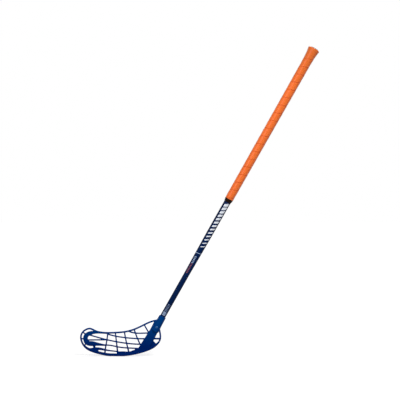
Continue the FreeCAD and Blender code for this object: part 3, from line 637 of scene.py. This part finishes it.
def woundTapeTree():
    tree, size = startTree("woundTape", [
        "Start", "End", "Width", "Pitch", "Phase", "Thickness", "Edge Drop", "Edge Power", "Side Share",
        "Lap", "Taper Start", "Taper End", "Foot Radius", "Top Radius", "Bridge Start", "Collar Start",
        "Collar End", "Lip", "Flare"], ["Steps", "Loop Points"])
    grid = addNode(tree, "GeometryNodeMeshGrid", {
        "Size X": 1.0, "Size Y": 1.0, "Vertices X": size["Steps"], "Vertices Y": size["Loop Points"]})
    flat = addNode(tree, "ShaderNodeSeparateXYZ", {0: addNode(tree, "GeometryNodeInputPosition")})
    # turns that carry the strip from below its start to above its end
    span = addNode(tree, "ShaderNodeMath", {0: size["End"], 1: size["Start"]}, operation="SUBTRACT")
    reach = addNode(tree, "ShaderNodeMath", {0: span, 1: size["Width"]}, operation="ADD")
    turns = addNode(tree, "ShaderNodeMath", {0: reach, 1: size["Pitch"]}, operation="DIVIDE")
    share = addNode(tree, "ShaderNodeMath", {0: flat.outputs["X"], 1: 0.5}, operation="ADD")
    turn = addNode(tree, "ShaderNodeMath", {0: share, 1: turns}, operation="MULTIPLY")
    # cross-section: over the top from the lower edge, down one side, back below, up the other side
    loop = addNode(tree, "ShaderNodeMath", {0: flat.outputs["Y"], 1: 0.5}, operation="ADD")
    topEnd = addNode(tree, "ShaderNodeMath", {0: 0.5, 1: size["Side Share"]}, operation="SUBTRACT")
    backEnd = addNode(tree, "ShaderNodeMath", {0: 1.0, 1: size["Side Share"]}, operation="SUBTRACT")
    over = addNode(tree, "ShaderNodeMapRange", {0: loop, 1: 0.0, 2: topEnd, 3: -1.0, 4: 1.0})
    back = addNode(tree, "ShaderNodeMapRange", {0: loop, 1: 0.5, 2: backEnd, 3: 0.0, 4: -2.0})
    sideways = addNode(tree, "ShaderNodeMath", {0: over, 1: back}, operation="ADD")
    down = addNode(tree, "ShaderNodeMapRange", {0: loop, 1: topEnd, 2: 0.5, 3: 1.0, 4: 0.0})
    up = addNode(tree, "ShaderNodeMapRange", {0: loop, 1: backEnd, 2: 1.0, 3: 0.0, 4: 1.0})
    raised = addNode(tree, "ShaderNodeMath", {0: down, 1: up}, operation="ADD")
    halfWidth = addNode(tree, "ShaderNodeMath", {0: size["Width"], 1: 0.5}, operation="MULTIPLY")
    across = addNode(tree, "ShaderNodeMath", {0: sideways, 1: halfWidth}, operation="MULTIPLY")
    # place along the tube, cut level at both ends; kept is what the cut leaves of across
    first = addNode(tree, "ShaderNodeMath", {0: size["Start"], 1: halfWidth}, operation="SUBTRACT")
    centre = addNode(tree, "ShaderNodeMath", {
        0: turn, 1: size["Pitch"], 2: first}, operation="MULTIPLY_ADD")
    along = addNode(tree, "ShaderNodeClamp", {
        0: addNode(tree, "ShaderNodeMath", {0: centre, 1: across}, operation="ADD"),
        1: size["Start"], 2: size["End"]})
    kept = addNode(tree, "ShaderNodeMath", {0: along, 1: centre}, operation="SUBTRACT")
    # soft edges
    toEdge = addNode(tree, "ShaderNodeMath", {
        0: addNode(tree, "ShaderNodeMath", {0: kept}, operation="ABSOLUTE"), 1: halfWidth},
        operation="DIVIDE")
    nearEdge = addNode(tree, "ShaderNodeMath", {0: toEdge, 1: size["Edge Power"]}, operation="POWER")
    softened = addNode(tree, "ShaderNodeMath", {
        0: size["Thickness"],
        1: addNode(tree, "ShaderNodeMath", {0: nearEdge, 1: size["Edge Drop"]}, operation="MULTIPLY")},
        operation="SUBTRACT")
    lift = addNode(tree, "ShaderNodeMath", {0: raised, 1: softened}, operation="MULTIPLY")
    # what the strip lies on: tapered tube, short bridge, flared collar
    tapered = addNode(tree, "ShaderNodeMapRange", {
        0: along, 1: size["Taper Start"], 2: size["Taper End"],
        3: size["Foot Radius"], 4: size["Top Radius"]})
    bridge = addNode(tree, "ShaderNodeMapRange", {
        0: along, 1: size["Bridge Start"], 2: size["Collar Start"], 3: 0.0, 4: size["Lip"]})
    onCollar = addNode(tree, "ShaderNodeMapRange", {
        0: along, 1: size["Collar Start"], 2: size["Collar End"], 3: 0.0, 4: 1.0})
    flare = addNode(tree, "ShaderNodeMath", {
        0: addNode(tree, "ShaderNodeMath", {0: onCollar, 1: 2.0}, operation="POWER"),
        1: addNode(tree, "ShaderNodeMath", {0: size["Flare"], 1: size["Lip"]}, operation="SUBTRACT"),
        2: bridge}, operation="MULTIPLY_ADD")
    below = addNode(tree, "ShaderNodeMath", {0: tapered, 1: flare}, operation="ADD")
    lapped = addNode(tree, "ShaderNodeMapRange", {    # the upper edge lies on the turn above
        0: kept, 1: 0.0, 2: halfWidth, 3: 0.0, 4: size["Lap"]})
    laid = addNode(tree, "ShaderNodeMath", {0: below, 1: lapped}, operation="ADD")
    radius = addNode(tree, "ShaderNodeMath", {0: laid, 1: lift}, operation="ADD")
    angle = addNode(tree, "ShaderNodeMath", {
        0: addNode(tree, "ShaderNodeMath", {0: turn, 1: size["Phase"]}, operation="ADD"), 1: 2 * math.pi},
        operation="MULTIPLY")
    length = addNode(tree, "ShaderNodeMath", {0: angle, 1: size["Top Radius"]}, operation="MULTIPLY")
    mapped = addNode(tree, "GeometryNodeStoreNamedAttribute", {
        0: grid, "Name": "UVMap", "Value": addNode(tree, "ShaderNodeCombineXYZ", {0: length, 1: kept})},
        data_type="FLOAT2", domain="CORNER")
    strip = addNode(tree, "GeometryNodeSetPosition", {
        0: mapped, "Position": wrapRound(tree, radius, angle, along)})
    closed = addNode(tree, "GeometryNodeMergeByDistance", {0: strip, "Distance": mergeDistance})
    endTree(tree, closed, size)
    return tree


def windTape(tree, tape, stretch, finish):
    turns = (tape["end"] - tape["start"] + tape["width"]) / tape["pitch"]
    mesh = grow(tree, dict(taperSizes(stretch), **{
        "Start": tape["start"], "End": tape["end"], "Width": tape["width"], "Pitch": tape["pitch"],
        "Phase": tape["phase"], "Thickness": tape["thickness"], "Lap": tape["lap"],
        "Edge Drop": tape["edgeDrop"], "Edge Power": tape["edgePower"],
        "Side Share": 1 / (tape["loopPoints"] - 1),
        "Bridge Start": gripTape["collarStart"] - gripTape["bridge"],
        "Collar Start": gripTape["collarStart"], "Collar End": tube["length"],
        "Lip": tape["lip"], "Flare": tape["flare"],
        "Steps": int(turns * tape["stepsPerTurn"]), "Loop Points": tape["loopPoints"], "Finish": finish}))
    mesh.transform(leanOver)
    return mesh


def collarRadius(along):
    share = (along - gripTape["collarStart"]) / (tube["length"] - gripTape["collarStart"])
    return tube["stations"][-1][1] + gripTape["lip"] + (gripTape["flare"] - gripTape["lip"]) * share ** 2


def makeFirstTurn(foam):    # the square turn at the butt, folded over the end and tucked under the plug
    start, thick, soft = gripTape["firstTurnStart"], gripTape["thickness"], gripTape["softEdge"]
    steps, rimRound = gripTape["roundSteps"], gripTape["rimRound"]
    corner = gripTape["softShare"] * soft
    top = tube["length"] + thick
    turnIn = top - rimRound
    places = [start + soft + (turnIn - start - soft) * step / steps for step in range(steps + 1)]
    profile = [(collarRadius(start), start), (collarRadius(start) + thick - soft, start),
               (collarRadius(start) + thick - corner, start + corner)]
    profile += [(collarRadius(along) + thick, along) for along in places]
    centre = profile[-1][0] - rimRound
    for step in range(1, steps + 1):
        angle = math.pi / 2 * step / steps
        profile.append((centre + rimRound * math.cos(angle), turnIn + rimRound * math.sin(angle)))
    profile += [(gripTape["plugBore"], top), (gripTape["plugBore"], tube["length"]),
                (collarRadius(turnIn) - thick, tube["length"])]
    mesh = lathe("gripFirstTurn", profile, tube["segments"])
    width = gripTape["width"]
    drawn = sum(math.dist(*pair) for pair in zip(profile[:-2], profile[1:-1]))
    for spot in mesh.uv_layers["UVMap"].data:    # only the lower edge is a seam
        spot.uv[1] = spot.uv[1] * (width - 2 * thick) / drawn - width / 2
    for vertex in mesh.vertices:    # small pleats where the fold draws the tape together
        folded = max(0.0, (vertex.co.z - turnIn) / rimRound)
        angle = math.atan2(vertex.co.y, vertex.co.x)
        vertex.co.z -= gripTape["pleatDepth"] * folded * (1 + math.sin(gripTape["pleats"] * angle))
    mesh.transform(leanOver)
    addPiece("gripFirstTurn", mesh, foam, ["grip_tape"])


def makeTapes():
    tree = woundTapeTree()
    foam = cushionedPolyurethane()
    winding = windTape(tree, gripTape, gripStretch, foam)
    addPiece("gripWinding", winding, foam, ["grip_tape"])
    makeFirstTurn(foam)
    black = stretchedVinyl()
    stretch = [(finishTape["start"], finishTape["footRadius"]), (finishTape["end"], finishTape["topRadius"])]
    winding = windTape(tree, finishTape, stretch, black)
    addPiece("finishWinding", winding, black, ["finishing_tape"])


# Butt plug: a flanged cap with a dished face and two raised rings, hollow below
buttPlug = {
    "top": 0.998, "seat": 0.9966, "flange": 0.0129, "edgeRound": 0.0007, "roundSteps": 6, "stem": 0.01045,
    "wall": 0.0016, "depth": 0.035, "dish": 0.0006, "dishRadius": 0.0096, "rings": [0.0071, 0.0038],
    "ringHalf": 0.0005, "ringRise": 0.00035,
}


def makePlug():
    top, seat, flange = buttPlug["top"], buttPlug["seat"], buttPlug["flange"]
    stem, wall, soft = buttPlug["stem"], buttPlug["wall"], buttPlug["edgeRound"]
    half, rise = buttPlug["ringHalf"], buttPlug["ringRise"]
    dish = top - buttPlug["dish"]
    foot = tube["length"] - buttPlug["depth"]
    profile = [(0.0, seat - wall), (stem - wall, seat - wall), (stem - wall, foot), (stem - wall / 2, foot),
               (stem, foot + wall), (stem, seat), (flange, seat)]
    for step in range(buttPlug["roundSteps"] + 1):
        angle = math.pi / 2 * step / buttPlug["roundSteps"]
        profile.append((flange - soft + soft * math.cos(angle), top - soft + soft * math.sin(angle)))
    profile += [(buttPlug["dishRadius"] + buttPlug["dish"], top), (buttPlug["dishRadius"], dish)]
    for ring in buttPlug["rings"]:
        profile += [(ring + half, dish), (ring + half / 2, dish + rise),
                    (ring - half / 2, dish + rise), (ring - half, dish)]
    profile.append((0.0, dish))
    mesh = lathe("buttCap", profile, tube["segments"], closed=False)
    mesh.transform(leanOver)
    addPiece("buttCap", mesh, mouldedGrain("blackPolypropylene"), ["butt_plug"])


# Camera: level and far away, as in the photograph
view = {"lens": 150.0, "sensor": 36.0, "frameWidth": 1.232, "centreX": 0.257, "centreZ": 0.481}


def makeCamera():
    data = bpy.data.cameras.new("photoCamera")
    data.lens = view["lens"]
    data.sensor_width = view["sensor"]
    camera = bpy.data.objects.new("photoCamera", data)
    scene.collection.objects.link(camera)
    distance = view["frameWidth"] * view["lens"] / view["sensor"]
    camera.location = (view["centreX"], -distance, view["centreZ"])
    camera.rotation_euler = (math.pi / 2, 0, 0)
    scene.camera = camera
    print("camera set")


# Studio: pale floor that turns white away from the stick, white surround, soft lamps
studio = {
    "floorSize": 60.0, "floorColour": "b0b0b0", "floorGlow": 0.7, "glowStart": 0.6, "glowEnd": 4.5,
    "surround": 0.1,    # what the white surround lights the stick with
    "lamps": [
        {"name": "softLamp", "place": (-1.1, -2.5, 1.5), "width": 1.5, "watts": 39},
        {"name": "topLamp", "place": (1.5, -2.4, 3.1), "width": 0.8, "watts": 88},
        {"name": "backLamp", "place": (1.45, 2.2, 2.6), "width": 2.0, "watts": 48},
    ],
}


def seenRays(tree):    # rays that show the white background
    path = addNode(tree, "ShaderNodeLightPath")
    both = addNode(tree, "ShaderNodeMath", {
        0: path.outputs["Is Camera Ray"], 1: path.outputs["Is Glossy Ray"]}, operation="MAXIMUM")
    return addNode(tree, "ShaderNodeMath", {
        0: both, 1: path.outputs["Is Transmission Ray"]}, operation="MAXIMUM")


def makeFloor():
    reach = studio["floorSize"] / 2
    corners = [(-reach, -reach, 0), (reach, -reach, 0), (reach, reach, 0), (-reach, reach, 0)]
    mesh = bpy.data.meshes.new("studioFloor")
    mesh.from_pydata(corners, [], [(0, 1, 2, 3)])
    floor = bpy.data.objects.new("studioFloor", mesh)
    scene.collection.objects.link(floor)
    material = bpy.data.materials.new("paleFloor")
    material.use_nodes = True
    tree = material.node_tree
    tree.nodes.clear()
    far = addNode(tree, "ShaderNodeVectorMath", {
        0: addNode(tree, "ShaderNodeTexCoord").outputs["Object"]}, operation="LENGTH").outputs["Value"]
    paper = addNode(tree, "ShaderNodeMapRange", {
        0: far, 1: studio["glowStart"], 2: studio["glowEnd"], 3: studio["floorGlow"], 4: 1.0})
    glow = addNode(tree, "ShaderNodeMath", {0: seenRays(tree), 1: paper}, operation="MULTIPLY")
    both = addNode(tree, "ShaderNodeAddShader", {
        0: addNode(tree, "ShaderNodeBsdfDiffuse", {"Color": linear(studio["floorColour"])}),
        1: addNode(tree, "ShaderNodeEmission", {"Strength": glow})})
    addNode(tree, "ShaderNodeOutputMaterial", {"Surface": both})
    mesh.materials.append(material)


def makeLight():
    world = bpy.data.worlds.new("studioSurround")
    scene.world = world
    world.use_nodes = True
    tree = world.node_tree
    tree.nodes.clear()
    strength = addNode(tree, "ShaderNodeMapRange", {0: seenRays(tree), 3: studio["surround"], 4: 1.0})
    surround = addNode(tree, "ShaderNodeBackground", {"Color": (1, 1, 1, 1), "Strength": strength})
    addNode(tree, "ShaderNodeOutputWorld", {"Surface": surround})
    target = Vector((view["centreX"], 0, view["centreZ"]))
    for plan in studio["lamps"]:
        data = bpy.data.lights.new(plan["name"], "AREA")
        data.size = plan["width"]
        data.energy = plan["watts"]
        lamp = bpy.data.objects.new(plan["name"], data)
        lamp.location = plan["place"]
        lamp.rotation_euler = (target - lamp.location).to_track_quat("-Z", "Y").to_euler()
        scene.collection.objects.link(lamp)
    print("floor and light set")


makeCamera()
makeFloor()
makeLight()
makeBlade()
makeScrews()
makeTube()
makePrints()
makeTapes()
makePlug()
frame["nodes"]["hosel_glue"].data.materials[0] = mouldedGrain("setGlue")
frame["nodes"]["knob_collar"].data.materials[0] = mouldedGrain("collarRubber")
print("materials set on the solids that stay")
